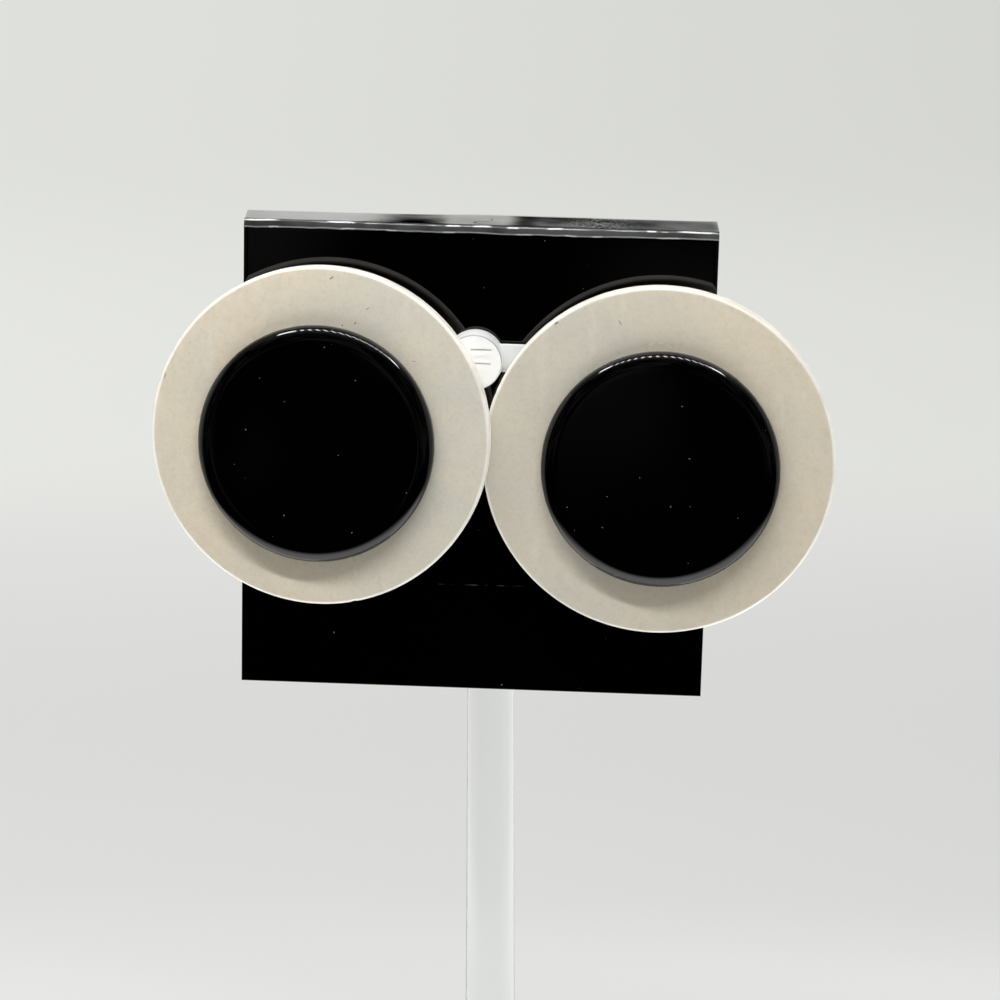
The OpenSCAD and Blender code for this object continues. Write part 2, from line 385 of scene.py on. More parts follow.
class MaterialNodes(NodeTree):
    """A new material with its shader, its object coordinates and the patterns made from them."""

    def __init__(self, name):
        self.material = bpy.data.materials.new(name)
        self.material.use_nodes = True
        super().__init__(self.material.node_tree)
        self.shader = self.tree.nodes["Principled BSDF"]
        self.where = self.add("ShaderNodeTexCoord").outputs["Object"]

    def put(self, socket, value):
        """Sets a socket of the shader, by a value or by a link."""
        self.feed(self.shader.inputs[socket], value)

    def mix(self, share, a, b):
        """A colour between a and b."""
        node = self.add("ShaderNodeMix", data_type="RGBA")
        colour_a, colour_b, result = node.inputs[6], node.inputs[7], node.outputs[2]
        self.link(share, node.inputs["Factor"])
        self.feed(colour_a, a)
        self.feed(colour_b, b)
        return result

    def specks(self, per_metre, size, share, seed):
        """Sparse round specks: cells a metre, speck size in cells, and the share of cells with one."""
        mapping = self.add("ShaderNodeMapping")
        mapping.inputs["Location"].default_value = (seed, seed * 0.37, seed * 0.71)
        self.link(self.where, mapping.inputs["Vector"])
        cells = self.add("ShaderNodeTexVoronoi", feature="F1", distance="EUCLIDEAN")
        cells.inputs["Scale"].default_value = per_metre
        self.link(mapping.outputs["Vector"], cells.inputs["Vector"])
        split = self.add("ShaderNodeSeparateColor")
        self.link(cells.outputs["Color"], split.inputs["Color"])
        chosen = self.between(split.outputs["Red"], 1 - share, 1 - share * 0.6)
        grown = self.calc(split.outputs["Green"], size, "MULTIPLY")
        near = self.calc(grown, cells.outputs["Distance"], "SUBTRACT")
        return self.calc(self.between(near, 0.0, size * 0.25), chosen, "MULTIPLY")

    def local(self, matrix, unit=(1, 1, 1)):
        """Coordinates in the frame of a matrix, in metres or in other units along its axes."""
        mapping = self.add("ShaderNodeMapping", vector_type="TEXTURE")
        mapping.inputs["Location"].default_value = matrix.to_translation()
        mapping.inputs["Rotation"].default_value = matrix.to_euler()
        mapping.inputs["Scale"].default_value = unit
        self.link(self.where, mapping.inputs["Vector"])
        return mapping.outputs["Vector"]

    def radius(self, a, b):
        """How far a point is from an axis, from its two coordinates across that axis."""
        squares = self.calc(self.calc(a, a, "MULTIPLY"), self.calc(b, b, "MULTIPLY"))
        return self.calc(squares, 0.5, "POWER")

    def away(self, value, centre):
        """How far a value is from its centre."""
        return self.calc(self.calc(value, centre, "SUBTRACT"), 0.0, "ABSOLUTE")

    def hump(self, value, centre, half, height=1.0):
        """A smooth hump over a value, down to 0 at half on either side."""
        return self.between(self.away(value, centre), 0.0, half, height, 0.0)

    def tilted(self, normal, tilt, sway):
        """A normal that is turned towards the front and to the right by these slopes."""
        slope = self.add("ShaderNodeCombineXYZ")
        self.link(self.calc(tilt, -1.0, "MULTIPLY"), slope.inputs["Y"])
        self.link(sway, slope.inputs["X"])
        for operation, other in (("ADD", slope.outputs["Vector"]), ("NORMALIZE", None)):
            node = self.add("ShaderNodeVectorMath", operation=operation)
            self.link(normal, node.inputs[0])
            if other is not None:
                self.link(other, node.inputs[1])
            normal = node.outputs["Vector"]
        return normal

    def mark(self, matrix, half, soft=0.5):
        """A soft ellipse of these half sizes, in the frame of the matrix: 1 inside, 0 outside."""
        far = self.add("ShaderNodeVectorMath", operation="LENGTH")
        self.link(self.local(matrix, half), far.inputs[0])
        return self.between(far.outputs["Value"], 1.0, 1.0 - soft)

    def bump(self, height, distance, strength=1.0, after=None):
        """A normal bent by a height map, where distance is the height of a full step in metres."""
        node = self.add("ShaderNodeBump")
        node.inputs["Strength"].default_value = strength
        node.inputs["Distance"].default_value = distance
        self.link(height, node.inputs["Height"])
        if after is not None:
            self.link(after, node.inputs["Normal"])
        return node.outputs["Normal"]


def cream_plastic(name, p, marks):
    """Cream plastic: a worn satin face with painted shade towards the other disc, a painted highlight and
    glow on its edge, and its own marks.
    """
    f = sizes().finish
    frame_of_disc, tone = on_earring(p), p.tone
    n = MaterialNodes(name)
    cream, edge = (tuple(v * tone for v in c) for c in (f.cream, f.rim_highlight))
    grey = tuple(v * math.sqrt(tone) for v in f.cream_shaded)
    across = n.axes(n.where)[0]
    # Painted shade: the cream turns darker and greyer towards the other disc, mixed with random patches
    inner = n.between(n.away(across, 0.0), 6 * MM, 27 * MM, 0.85, 0.1)
    patches = n.between(n.noise(110, 4), 0.38, 0.68, -0.2, 0.2)
    base = n.mix(n.calc(inner, patches), cream, grey)
    for pattern, low, high, share, tint in (
            (n.noise(420, 5), 0.36, 0.64, 0.09, (0.56, 0.52, 0.44)),  # clouds
            (n.noise(1250, 3), 0.42, 0.66, 0.11, (0.50, 0.46, 0.38)),  # mottling
            (n.noise(260, 3), 0.45, 0.65, 0.12, (0.86, 0.74, 0.52)),  # warmer patches
            (n.noise(2700, 2), 0.50, 0.70, 0.14, (0.45, 0.40, 0.33)),  # grain
            (n.noise(500, 4, stretch=(1.0, 1.0, 0.25)), 0.58, 0.72, 0.16, (0.92, 0.89, 0.82))):  # rubbed
        base = n.mix(n.between(pattern, low, high, 0.0, share), base, tint)
    dark = n.specks(900, 0.14, 0.03, 3.1)
    base = n.mix(n.calc(dark, 0.45, "MULTIPLY"), base, (0.25, 0.21, 0.16))
    for across_mm, up_mm, out_mm, turn, half, mark_tone in marks:
        spot = frame_of_disc @ Matrix.Translation((across_mm * MM, up_mm * MM, out_mm * MM)) \
            @ Matrix.Rotation(math.radians(turn), 4, "Z")
        half_m = tuple(h * MM for h in half)
        base = n.mix(n.mark(spot, half_m), base, mark_tone)
    right, top = n.axes(n.local(frame_of_disc))[:2]
    # Painted highlight and glow: the outer edge of the cream disc is painted pale and made to glow, unevenly
    rim = n.between(n.radius(right, top), p.disc_d / 2 - 0.42 * MM, p.disc_d / 2 - 0.12 * MM)
    uneven = n.between(n.noise(300, 4), 0.3, 0.6, 0.6, 1.0)
    rim = n.calc(rim, uneven, "MULTIPLY")
    n.put("Base Color", n.mix(rim, base, edge))
    n.put("Emission Color", PAINTED_GLOW)
    n.put("Emission Strength", n.calc(rim, f.edge_glow, "MULTIPLY"))
    n.put("Roughness", n.between(n.noise(350, 5), 0.3, 0.7, 0.36, 0.5))
    n.put("Subsurface Weight", 0.08)
    n.put("Subsurface Radius", (1.0, 0.85, 0.65))
    n.put("Subsurface Scale", 0.8 * MM)
    n.put("IOR", 1.49)
    fine = n.bump(n.noise(1700, 4), 0.02 * MM, 0.5)
    n.put("Normal", n.bump(n.noise(60, 2), 0.25 * MM, 0.25, fine))
    return n.material


def black_plastic(name, wave_height, dust_share):
    """Polished black plastic with hairlines, a slow unevenness and some dust."""
    f = sizes().finish
    n = MaterialNodes(name)
    dust = n.specks(700, 0.09, dust_share, 7.7)
    fine_dust = n.specks(1700, 0.11, dust_share, 1.3)
    shown = n.calc(n.calc(dust, 0.6, "MULTIPLY"), n.calc(fine_dust, 0.35, "MULTIPLY"), "MAXIMUM")
    n.base = n.mix(shown, f.black, f.dust)
    n.put("Base Color", n.base)
    hairlines = n.between(n.noise(700, 6, stretch=(1.0, 1.0, 0.12)), 0.5, 0.75, 0.03, 0.07)
    n.rough = n.calc(hairlines, n.calc(shown, 0.5, "MULTIPLY"))
    n.put("Roughness", n.rough)
    n.put("IOR", 1.49)
    n.wave = n.bump(n.noise(38, 1), wave_height)
    n.put("Normal", n.wave)
    return n


def gloss_black(name, frame_of_disc, face, specks):
    """A black disc's plastic with its own larger specks of dust: across, up and half size in mm."""
    n = black_plastic(name, 0.02 * MM, 0.025)
    base = n.base
    for across_mm, up_mm, half in specks:
        spot = frame_of_disc @ Matrix.Translation((across_mm * MM, up_mm * MM, face))
        base = n.mix(n.mark(spot, (half * MM, half * MM, 0.3 * MM), 0.9), base, sizes().finish.speck)
    n.put("Base Color", base)
    return n.material


def gloss_card():
    """The card's black sheet: a faintly whitened fold with painted glints, an uneven lip and a faint broken
    pale line low on the front.
    """
    c, f = sizes().card, sizes().finish
    n = black_plastic("card_plastic", 0.10 * MM, 0.03)
    # A faint broken pale line across the front, low down
    low_line = on_card() @ Matrix.Translation((0.6 * MM, 0, -39.6 * MM)) \
        @ Matrix.Rotation(math.radians(-0.5), 4, "Y")
    line = n.mark(low_line, (6.8 * MM, 1 * MM, 0.08 * MM), 0.8)
    broken = n.between(n.noise(1300, 4), 0.42, 0.66)
    base = n.mix(n.calc(n.calc(line, broken, "MULTIPLY"), 0.22, "MULTIPLY"), n.base, f.dust)

    across, depth, up = n.axes(n.local(on_card()))
    on_lip = n.between(depth, c.fold_r * 0.4, c.fold_r * 0.6)
    on_fold = n.calc(n.between(up, -0.86 * MM, -0.80 * MM), n.between(on_lip, 0.0, 1.0, 1.0, 0.0), "MULTIPLY")
    uneven = n.between(n.noise(160, 3), 0.35, 0.65, 0.02, 0.07)
    base = n.mix(n.calc(on_fold, uneven, "MULTIPLY"), base, f.fold_white_and_glint)
    wander = n.between(n.noise(220, 2), 0.3, 0.7, -0.06 * MM, 0.06 * MM)
    # Painted glints: pale lines along the fold's two bends, where the lamp's reflection lies
    glint = None
    for rise, least, most, glints in ((-0.78, 0.25, 0.55, LOWER_GLINTS), (-0.12, 0.1, 1.0, UPPER_GLINTS)):
        shine = None
        for centre, half in glints:
            one = n.hump(across, centre * MM, half * MM)
            shine = one if shine is None else n.calc(shine, one, "MAXIMUM")
        shine = n.calc(n.between(shine, 0.0, 0.7, 0.0, most), least, "MAXIMUM")
        line = n.calc(n.hump(n.calc(up, wander), rise * MM, 0.12 * MM), shine, "MULTIPLY")
        glint = line if glint is None else n.calc(glint, line, "MAXIMUM")
    glint = n.calc(glint, n.between(on_lip, 0.0, 1.0, 1.0, 0.0), "MULTIPLY")
    base = n.mix(glint, base, f.fold_white_and_glint)
    n.put("Base Color", base)

    grainy = n.calc(n.hump(across, 12.6 * MM, 6.5 * MM), on_lip, "MULTIPLY")
    n.put("Roughness", n.calc(n.rough, n.calc(glint, 0.4, "MULTIPLY")))

    near_fold = n.between(depth, 1.5 * MM, 7.5 * MM, 1.0, 0.55)
    tilt = n.calc(n.hump(across, -7.4 * MM, 4.6 * MM, 0.05), near_fold, "MULTIPLY")
    tilt = n.calc(tilt, n.between(across, -15 * MM, -11 * MM, 0.020, 0.048))
    tilt = n.calc(tilt, n.between(across, -5 * MM, -3 * MM, 0.0, -0.018))
    tilt = n.calc(tilt, n.hump(across, 4.2 * MM, 2.2 * MM, 0.028))
    tilt = n.calc(tilt, n.between(across, 2 * MM, 6 * MM, 0.0, 0.048))
    curve = n.between(n.away(n.noise(170, 1), 0.5), 0.0, 0.010, 0.04, 0.0)
    curved = n.calc(n.hump(across, -13 * MM, 3 * MM), n.hump(across, -1 * MM, 4.5 * MM), "MAXIMUM")
    tilt = n.calc(tilt, n.calc(curve, curved, "MULTIPLY"))
    tilt = n.calc(tilt, n.between(n.noise(130, 2), 0.3, 0.7, -0.012, 0.012))
    grain = n.calc(n.between(n.noise(3300, 3), 0.35, 0.65, -0.02, 0.02), grainy, "MULTIPLY")
    tilt = n.calc(n.calc(tilt, grain), on_lip, "MULTIPLY")
    sway = n.between(n.noise(150, 1, stretch=(1.0, 0.1, 0.1)), 0.25, 0.75, -0.035, 0.035)
    sway = n.calc(sway, n.between(up, -1.1 * MM, -0.8 * MM), "MULTIPLY")
    n.put("Normal", n.tilted(n.wave, tilt, sway))
    return n.material


def white_nylon(name, tint):
    """Satin nylon that light enters a little; its nodes stay open to more."""
    n = MaterialNodes(name)
    cloudy = n.between(n.noise(400, 3), 0.35, 0.65)
    n.base = n.mix(cloudy, tint, tuple(v * 0.95 for v in tint))
    n.put("Base Color", n.base)
    n.put("Roughness", n.between(n.noise(1500, 4), 0.3, 0.7, 0.3, 0.42))
    n.put("Subsurface Weight", 0.2)
    n.put("Subsurface Radius", (1.0, 1.0, 1.0))
    n.put("Subsurface Scale", 0.4 * MM)
    n.put("Normal", n.bump(n.noise(2500, 2), 0.01 * MM, 0.5))
    return n


def bar_nylon():
    """The bar's nylon, greyer in streaks."""
    n = white_nylon("bar_nylon", sizes().finish.nylon)
    streaks = n.between(n.noise(900, 3, stretch=(1.0, 1.0, 0.2)), 0.45, 0.7)
    n.put("Base Color", n.mix(n.calc(streaks, 0.3, "MULTIPLY"), n.base, (0.60, 0.61, 0.61)))
    return n.material


def button_nylon():
    """The button's nylon: painted shade lines across a bright face and round its edge, a wall painted darker,
    and a painted glow.
    """
    c, f = sizes().card, sizes().finish
    n = white_nylon("button_nylon", f.button)
    matrix = on_card() @ Matrix.Translation((-c.button_x, 0, -c.button_drop))
    across, depth, up = n.axes(n.local(matrix))
    # Painted shade: grey lines across the face, where its grooves lie in shade
    groove_shade = None
    for rise, height in ((2.35, 0.7), (0.65, 1.0), (-0.85, 0.3)):
        one = n.hump(up, rise * MM, 0.3 * MM, height)
        groove_shade = one if groove_shade is None else n.calc(groove_shade, one)
    groove_shade = n.calc(groove_shade, n.hump(across, 0.6 * MM, 2.6 * MM), "MULTIPLY")
    base = n.mix(n.calc(groove_shade, 0.7, "MULTIPLY"), n.base, (0.72, 0.72, 0.71))
    # Painted shade: a grey line round the face's edge, strongest at the top
    rim = n.between(n.radius(across, up), c.button_d / 2 - 0.17 * MM, c.button_d / 2 - 0.12 * MM)
    upper = n.between(up, -1.5 * MM, 0.5 * MM, 0.25, 1.0)
    base = n.mix(n.calc(rim, upper, "MULTIPLY"), base, (0.50, 0.50, 0.49))
    # The wall gets the darker, painted-shade nylon
    on_wall = n.between(depth, -c.button_h + 0.14 * MM, -c.button_h + 0.2 * MM)
    n.put("Base Color", n.mix(on_wall, base, f.button_wall_shade))
    # Painted glow, stronger on the face than on the wall and the edge line
    n.put("Emission Color", PAINTED_GLOW)
    n.put("Emission Strength", n.between(n.calc(on_wall, rim, "MAXIMUM"), 0.0, 1.0, 0.17, 0.04))
    return n.material


def clear_acrylic():
    n = MaterialNodes("stand_acrylic")
    n.put("Base Color", sizes().finish.clear)
    n.put("Transmission Weight", 1.0)
    n.put("IOR", 1.49)
    n.put("Roughness", n.between(n.noise(600, 4), 0.5, 0.8, 0.01, 0.05))
    n.put("Normal", n.bump(n.noise(45, 1), 0.03 * MM, 0.6))
    return n.material


def plated_metal():
    n = MaterialNodes("clip_plating")
    n.put("Base Color", sizes().finish.plating)
    n.put("Metallic", 1.0)
    n.put("Roughness", n.between(n.noise(500, 5, stretch=(1, 1, 0.06)), 0.3, 0.7, 0.18, 0.36))
    n.put("Normal", n.bump(n.noise(3000, 3, stretch=(1, 1, 0.05)), 0.004 * MM, 0.5))
    return n.material


# Pieces

class OBJECT_OT_cream_discs(bpy.types.Operator):
    """Turns the two cream discs, with their rounded and slightly chipped edges"""
    bl_idname = "earring.cream_discs"
    bl_label = "Cream Discs"

    # Chips: bearing from the top in degrees, clockwise, height from the back as a share, size in mm
    chips = {
        "left": ((167.0, 0.9, 0.5), (92.0, 0.9, 0.3)),
        "right": ((-37.0, 0.95, 0.35), (-66.0, 0.9, 0.45), (-69.5, 0.8, 0.35)),
    }
    # Marks: across, up and out in mm, turn in degrees, half sizes in mm, colour
    marks = {
        "left": ((0.95, 17.1, 2.2, 40, (0.35, 0.1, 0.2), (0.25, 0.22, 0.18)),
                 (3.6, 12.4, 2.2, 60, (0.22, 0.1, 0.2), (0.3, 0.26, 0.2)),
                 (4.9, 14.0, 2.2, 40, (0.3, 0.07, 0.2), (0.35, 0.3, 0.24)),
                 (2.2, 12.1, 2.2, 0, (0.12, 0.12, 0.2), (0.3, 0.26, 0.2)),
                 (10.0, 8.6, 2.2, 5, (0.24, 0.07, 0.2), (0.42, 0.37, 0.30)),
                 (-16.9, 5.9, 2.2, 80, (0.5, 0.09, 0.2), (0.4, 0.35, 0.28))),
        "right": ((-4.55, 14.9, 2.2, 125, (0.4, 0.07, 0.2), (0.35, 0.3, 0.24)),
                  (-1.1, 12.75, 2.2, 22, (0.5, 0.045, 0.2), (0.93, 0.90, 0.84)),
                  (-0.2, 12.9, 2.2, -3, (0.5, 0.045, 0.2), (0.93, 0.90, 0.84)),
                  (0.75, 12.55, 2.2, -33, (0.55, 0.045, 0.2), (0.93, 0.90, 0.84)),
                  (-11.3, 14.6, 2.2, 40, (0.3, 0.16, 0.2), (0.22, 0.19, 0.15)),
                  (-17.3, 7.6, 2.2, 60, (0.28, 0.14, 0.2), (0.3, 0.26, 0.2))),
    }

    def chip(self, bm, radius, thickness, chips):
        """Presses small hollows into the rim."""
        for bearing, share, size in chips:
            a = math.radians(bearing)
            spot = Vector((radius * math.sin(a), radius * math.cos(a), thickness * share))
            for v in bm.verts:
                near = (v.co - spot).length / (size * MM)
                if near < 1:
                    v.co -= Vector((spot.x, spot.y, 0)).normalized() * (0.5 * size * MM * (1 - near) ** 2)
                    v.co.z -= 0.25 * size * MM * (1 - near) ** 2

    def disc(self, p, side):
        e = sizes().earring
        r, t, edge = p.disc_d / 2, e.disc_t, e.disc_edge_r
        support = 0.15 * MM
        profile = [(0, 0), (r - edge - support, 0)]
        profile += arc((r - edge, edge), edge, -90, 0, 8)
        profile += arc((r - edge, t - edge), edge, 0, 90, 8)
        profile += [(r - edge - support, t), (r * 0.9, t), (r * 0.6, t), (0, t)]
        bm = turned(profile, e.turn_steps * 2)
        self.chip(bm, r, t, self.chips[side])
        material = cream_plastic(f"cream_plastic_{side}", p, self.marks[side])
        finished(f"{side}_cream", bm, on_earring(p), material, f"{side}_cream_disc")

    def execute(self, context):
        self.disc(sizes().left, "left")
        self.disc(sizes().right, "right")
        return {"FINISHED"}


class OBJECT_OT_black_discs(bpy.types.Operator):
    """Turns the two black discs, flat in the middle and softly rounded to the edge"""
    bl_idname = "earring.black_discs"
    bl_label = "Black Discs"

    # Specks of dust: across, up and half size in mm
    specks = {
        "left": ((0.9, 10.6, 0.10), (4.3, 7.2, 0.09), (-6.0, 7.0, 0.08), (-3.3, 4.6, 0.09), (-7.4, 1.4, 0.10),
                 (2.6, -0.9, 0.07), (10.1, -4.6, 0.09), (-3.1, -7.7, 0.11), (4.3, -9.2, 0.10)),
        "right": ((2.1, 7.2, 0.10), (11.0, 5.0, 0.08), (3.1, 1.6, 0.11), (-2.1, -0.7, 0.09),
                  (-5.5, -2.9, 0.09), (1.3, -3.7, 0.12), (3.4, -3.6, 0.07), (8.5, -4.6, 0.08),
                  (-5.9, -6.3, 0.09), (3.4, -9.8, 0.08)),
    }

    def disc(self, p, side):
        e = sizes().earring
        r, t, edge, crown = e.cap_d / 2, e.cap_t, e.cap_edge_r, e.cap_crown_r
        flat_r = r * e.cap_flat_share
        slope = math.asin((r - edge - flat_r) / (crown - edge))
        edge_z = t - crown + (crown - edge) * math.cos(slope)
        meet = 90 - math.degrees(slope)
        back_edge = 0.15 * MM
        profile = [(0, 0), (r - 3 * back_edge, 0)]
        profile += arc((r - back_edge, back_edge), back_edge, -90, 0, 4)
        profile += arc((r - edge, edge_z), edge, 0, meet, 16)
        profile += arc((flat_r, t - crown), crown, meet, 90, 8)[1:]
        profile += [(flat_r - 0.3 * MM, t), (flat_r * 0.7, t), (0, t)]
        bm = turned(profile, e.turn_steps)
        material = gloss_black(f"black_plastic_{side}", on_cap(p), t, self.specks[side])
        finished(f"{side}_black", bm, on_cap(p), material, f"{side}_black_disc")

    def execute(self, context):
        self.disc(sizes().left, "left")
        self.disc(sizes().right, "right")
        return {"FINISHED"}


class OBJECT_OT_display_card(bpy.types.Operator):
    """Sweeps the card's sheet across, folds its lip back and lets it wave a little"""
    bl_idname = "earring.display_card"
    bl_label = "Display Card"

    across_steps: IntProperty(name="Across", description="Steps across the card", default=96)
    tight_r: length("Tight bend", "Radius of the fold's two tight bends", 0.3)
    slope_r: length("Slope bend", "Radius of the slope between them", 3.0)
    slope: turning("Slope", "Angle of that slope above the front", 23)
    hump_x: place("Hump across", "Where the stem lifts the lip", 0.2)
    hump: length("Hump", "How far the stem lifts the lip", 0.06)
    hump_w: length("Hump width", "Half width of that lift", 3.2)
    wave: length("Wave", "Height of the lip's slow wave", 0.04)

    def fold(self):
        """The fold from the front to the lip: two tight bends with a slightly rounded slope between."""
        c = sizes().card
        tight, wide = self.tight_r, self.slope_r
        steps, half_slope = 6, math.radians(6)
        low, high = self.slope - half_slope, self.slope + half_slope
        bends = ((tight, 0.0, low), (wide, low, high), (tight, high, math.radians(90)))
        points = [(0.0, 0.0)]
        for radius, start, end in bends:
            for i in range(steps):
                a = start + (end - start) * (i + 0.5) / steps
                step = radius * (end - start) / steps
                y, z = points[-1]
                points.append((y + step * math.sin(a), z + step * math.cos(a)))
        rise = points[-1][1]
        points = [(y, z - rise) for y, z in points]
        return [(0.0, -c.fold_r * 1.15), *points, (c.fold_r, 0.0)]

    def wavy(self, bm):
        """Lifts the lip over the stem and lets it wave by a few hundredths of a millimetre."""
        c = sizes().card
        for v in bm.verts:
            x, y, z = v.co
            back = max(0.0, y / c.lip_right)
            lift = self.hump * math.exp(-((x - self.hump_x) / self.hump_w) ** 2)
            roll = self.wave * math.sin(x / c.width * 9.0 + 0.9)
            v.co.z += back * (lift + roll)

    def execute(self, context):
        c = sizes().card
        half = c.width / 2
        rows, lip_rows, flare_w, rim_r = 24, 8, 4 * MM, 0.06 * MM
        front = [(-c.height + c.height * i / rows) for i in range(rows)]
        front = [z for z in front if z < -c.fold_r * 1.6]
        front.insert(1, -c.height + 2.5 * rim_r)  # keeps the shading of the lower edge off the front
        points = [(-half, 0, z) for z in front]
        for y, z in self.fold():
            points.append((-half, y, z))
        for i in range(1, lip_rows + 1):
            points.append((-half, c.fold_r + (c.lip_left - c.fold_r) * i / lip_rows, 0))
        bm = bmesh.new()
        geom = chain(bm, points)
        step = c.width / self.across_steps
        bmesh.ops.spin(bm, geom=geom, cent=(0, 0, 0), axis=(1, 0, 0), dvec=(step, 0, 0),
                       angle=0, steps=self.across_steps, use_merge=False, use_duplicate=False)
        for v in bm.verts:
            if v.co.y > c.fold_r * 1.2:
                grown = (v.co.x + half) / c.width * (c.lip_right - c.lip_left)
                back = (v.co.y - c.fold_r) / (c.lip_left - c.fold_r)
                v.co.y += grown * back
                v.co.x -= c.lip_flare * back * max(0.0, 1 - (v.co.x + half) / flare_w)
        self.wavy(bm)
        bmesh.ops.recalc_face_normals(bm, faces=bm.faces)
        if sum(f.normal.y for f in bm.faces) > 0:
            bmesh.ops.reverse_faces(bm, faces=bm.faces)
        bmesh.ops.solidify(bm, geom=bm.faces[:], thickness=c.sheet_t)
        bmesh.ops.recalc_face_normals(bm, faces=bm.faces)
        rims = [e for e in bm.edges if e.calc_face_angle(0) > math.radians(60)]
        bmesh.ops.bevel(bm, geom=rims, offset=rim_r, offset_type="OFFSET", affect="EDGES",
                        segments=2, profile=0.5, material=-1, clamp_overlap=True)
        finished("card_sheet", bm, on_card(), gloss_card(), "display_card")
        return {"FINISHED"}


class OBJECT_OT_clip_bar(bpy.types.Operator):
    """Makes the white bar with its feet and its round grooved button"""
    bl_idname = "earring.clip_bar"
    bl_label = "Clip Bar"

    edge: length("Edge", "Radius of the moulded edges", 0.12)

    def block(self, bm, low, high):
        """A box between two corners with rounded edges."""
        low, high = Vector(low), Vector(high)
        made = bmesh.ops.create_cube(bm, size=1.0, matrix=Matrix.Translation((low + high) / 2)
                                     @ Matrix.Diagonal((*(high - low), 1)))
        edges = list({e for v in made["verts"] for e in v.link_edges})
        bmesh.ops.bevel(bm, geom=edges, offset=self.edge, offset_type="OFFSET", affect="EDGES",
                        segments=3, profile=0.5, material=-1, clamp_overlap=True)

    def button(self):
        """The round button, turned, with two grooves pressed into its face."""
        c, gap = sizes().card, sizes().earring.glue_gap
        root, face = c.button_root_d / 2, c.button_d / 2
        tall = c.button_h
        profile = [(0, gap), (root, gap), (root, 0.3 * MM)]
        profile += arc((face - self.edge, tall - self.edge), self.edge, 5, 90, 5)
        profile += [(face - self.edge * 2, tall), (0, tall)]
        bm = turned(profile, 96)
        middle, half_l, w, deep = 0.7 * MM, 1.1 * MM, 0.2 * MM, 0.3 * MM
        rises = (1.4 * MM, -0.1 * MM)
        for rise in rises:
            for edge_at in (rise - w / 2, rise + w / 2):
                bmesh.ops.bisect_plane(bm, geom=bm.verts[:] + bm.edges[:] + bm.faces[:],
                                       plane_co=(0, edge_at, 0), plane_no=(0, 1, 0))
            for end in (middle - half_l, middle + half_l):
                bmesh.ops.bisect_plane(bm, geom=bm.verts[:] + bm.edges[:] + bm.faces[:],
                                       plane_co=(end, 0, 0), plane_no=(1, 0, 0))
        for rise in rises:
            inside = [f for f in bm.faces
                      if f.calc_center_median().z > tall - 0.01 * MM
                      and abs(f.calc_center_median().y - rise) < w / 2
                      and abs(f.calc_center_median().x - middle) < half_l]
            pressed = bmesh.ops.extrude_face_region(bm, geom=inside)
            verts = [g for g in pressed["geom"] if isinstance(g, bmesh.types.BMVert)]
            bmesh.ops.translate(bm, verts=verts, vec=(0, 0, -deep))
            bmesh.ops.delete(bm, geom=inside, context="FACES_ONLY")
        bmesh.ops.remove_doubles(bm, verts=bm.verts, dist=MERGE_DISTANCE)
        bmesh.ops.recalc_face_normals(bm, faces=bm.faces)
        matrix = (on_card() @ Matrix.Translation((-c.button_x, 0, -c.button_drop))
                  @ Matrix.Rotation(math.radians(90), 4, "X"))
        finished("bar_button", bm, matrix, button_nylon(), "clip_bar")

    def execute(self, context):
        c, gap = sizes().card, sizes().earring.glue_gap
        low, high = -c.bar_drop - c.bar_h / 2, -c.bar_drop + c.bar_h / 2
        front, back = -c.bar_stand_off - c.bar_t, -c.bar_stand_off
        bm = bmesh.new()
        self.block(bm, (-c.bar_w / 2, front, low), (c.bar_w / 2, back, high))
        for x in (-c.bar_w / 2, c.bar_w / 2 - c.foot_w):
            self.block(bm, (x, back - self.edge * 2, low), (x + c.foot_w, -gap, high))
        finished("bar_strip", bm, on_card(), bar_nylon(), "clip_bar")
        self.button()
        return {"FINISHED"}


class OBJECT_OT_stand(bpy.types.Operator):
    """Turns the clear stem and the clear foot"""
    bl_idname = "earring.stand"
    bl_label = "Clear Stand"

    def execute(self, context):
        s = sizes().stand
        clear = clear_acrylic()
        bottom, top = STEM_LOW.z, STEM_HIGH.z
        low_r, high_r, edge = s.stem_foot_d / 2, s.stem_top_d / 2, s.edge_r
        stem = [(0, bottom), (low_r - edge * 1.2, bottom)]
        stem += arc((low_r - edge, bottom + edge), edge, -90, 0, 4)
        stem += [(low_r - edge * 0.02, bottom + edge * 1.6)]
        stem += [(high_r + edge * 0.02, top - edge * 1.6)]
        stem += arc((high_r - edge, top - edge), edge, 0, 90, 4)
        stem += [(high_r - edge * 1.2, top), (0, top)]
        finished("clear_stem", turned(stem, 96), Matrix(), clear, "stand_stem")

        r, t = BASE_HIGH.x, BASE_HIGH.z
        slope, bore = s.base_slope, s.stem_foot_d / 2 + s.socket_gap
        floor = bottom - sizes().earring.glue_gap
        base = [(0, 0), (r - edge * 1.2, 0)]
        base += arc((r - edge, edge), edge, -90, 0, 4)
        base += [(r, edge * 1.3), (r, t - slope - edge)]
        base += arc((r - edge, t - slope - edge * 0.6), edge, 10, 40, 3)
        base += arc((r - slope - edge * 0.4, t - edge), edge, 50, 90, 3)
        base += [(r - slope - edge * 2, t), (bore + edge * 2, t)]
        base += arc((bore + edge * 0.5, t - edge * 0.5), edge * 0.5, 90, 180, 3)
        base += [(bore, floor), (0, floor)]
        finished("clear_foot", turned(base, 192), Matrix(), clear, "stand_base")
        return {"FINISHED"}


class OBJECT_OT_clips(bpy.types.Operator):
    """Gives the two hidden clips their plated metal"""
    bl_idname = "earring.clips"
    bl_label = "Clips"

    def execute(self, context):
        metal = plated_metal()
        for name in ("left_clip", "right_clip"):
            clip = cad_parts[name]
            clip.data.materials.clear()
            clip.data.materials.append(metal)
        return {"FINISHED"}


